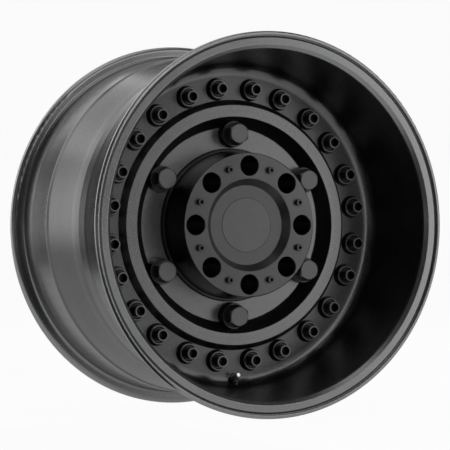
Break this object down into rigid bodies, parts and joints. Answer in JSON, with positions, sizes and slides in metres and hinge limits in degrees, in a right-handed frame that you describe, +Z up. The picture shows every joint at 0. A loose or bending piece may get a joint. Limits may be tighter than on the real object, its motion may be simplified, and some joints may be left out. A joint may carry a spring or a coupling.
{
  "type": "car wheel",
  "caption": "Deep-lip cast alloy truck wheel with a ring of socket bolts, hex bolts, a raised hub with lug holes, a centre cap and a clamp-in valve; no tyre.",
  "frame": {"origin": "centre of the wheel: on the axle, halfway across its width", "axes": "+Y along the axle towards the vehicle, the dish faces -Y, +Z up with the valve at the bottom"},
  "size_m": [0.543, 0.325, 0.543],
  "materials": {
    "body_paint": "satin black powder coat on cast aluminium",
    "collar_black": "black plated",
    "bolt_black": "black plated",
    "hex_paint": "satin black",
    "cap_plastic": "satin moulded",
    "cap_inlay": "satin moulded",
    "spring_steel": "drawn wire",
    "stem_black": "black anodised",
    "rubber": "moulded rubber",
    "brass": "turned brass",
    "gasket": "moulded",
    "bright_cap": "plated"
  },
  "bodies": {
    "wheel": {"wheel_body": "body_paint", "ring_collars": "collar_black", "ring_bolts": "bolt_black", "hub_screws": "bolt_black", "hex_collars": "collar_black", "hex_washers": "collar_black", "hex_bolts": "hex_paint", "centre_cap": "cap_plastic", "cap_disc": "cap_inlay", "cap_spring_ring": "spring_steel", "valve_stem": "stem_black", "valve_grommet": "rubber", "valve_washer": "stem_black", "valve_nut": "stem_black", "valve_core_plug": "brass", "valve_core_gasket": "gasket", "valve_core_spring": "spring_steel"},
    "valve_pin": {"valve_core_pin": "brass", "valve_core_seal": "rubber"},
    "cap_washer": {"valve_cap_gasket": "rubber"},
    "screw_cap": {"valve_cap": "bright_cap"}
  },
  "joints": [
    {"name": "pin_press", "type": "slide", "parent": "wheel", "child": "valve_pin", "axis": [0, 0.8996, -0.4368], "range_m": [0, 0.0012], "stiffness_N_per_m": 1500, "springref_m": -0.001, "deforming": ["valve_core_spring"]},
    {"name": "cap_lift", "type": "slide", "parent": "wheel", "child": "cap_washer", "axis": [0, -0.8996, 0.4368], "range_m": [0, 0.00635]},
    {"name": "cap_turn", "type": "hinge", "parent": "cap_washer", "child": "screw_cap", "pos_m": [0, -0.04109, -0.21976], "axis": [0, -0.8996, 0.4368], "range_deg": [0, 2880]}
  ],
  "couplings": [
    {"joint": "cap_turn", "follows": "cap_lift", "rad_per_m": 7913.3}
  ]
}
